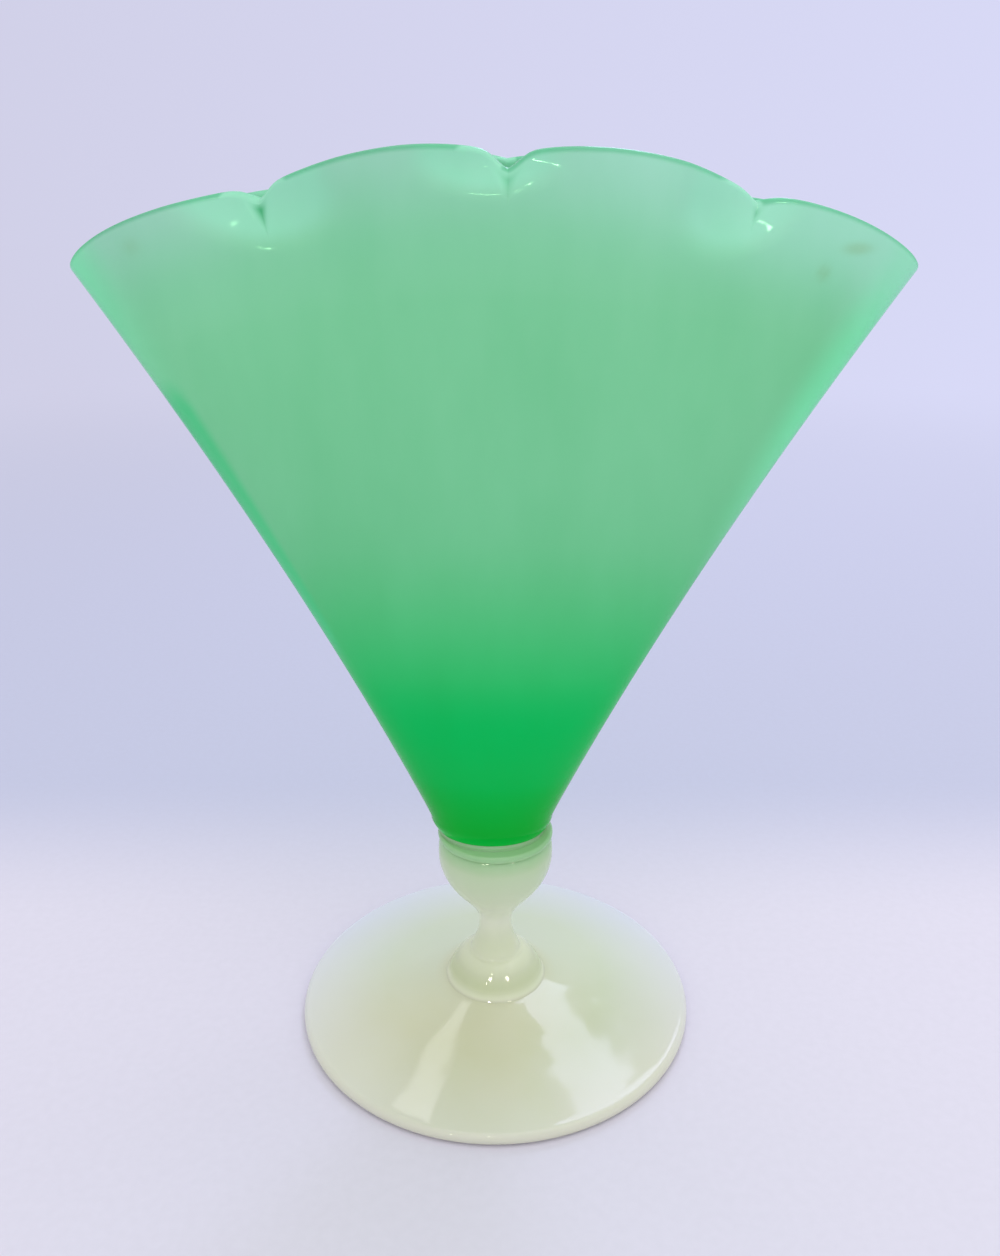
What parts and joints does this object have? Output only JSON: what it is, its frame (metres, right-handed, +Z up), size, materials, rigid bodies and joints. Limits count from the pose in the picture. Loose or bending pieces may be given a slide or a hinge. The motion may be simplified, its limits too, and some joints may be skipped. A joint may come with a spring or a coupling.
{
  "type": "stemmed fan vase",
  "caption": "Stemmed glass fan vase: a flattened jade green bowl with its rim pressed into four finger-like lobes, on a pale knopped stem and a spread round foot.",
  "frame": {"origin": "centre of the ring that the foot stands on, at table level", "axes": "+Z up through the stem, X along the width of the fan, -Y out of the face with the deeper notches"},
  "size_m": [0.179, 0.104, 0.215],
  "materials": {
    "jade_glass": "fire-polished translucent jade green",
    "pearl_glass": "fire-polished milky, faintly yellow-green"
  },
  "bodies": {
    "root": {"bowl": "jade_glass", "bowl_wafer": "pearl_glass", "stem": "pearl_glass", "foot_wafer": "pearl_glass", "foot": "pearl_glass"}
  },
  "joints": []
}
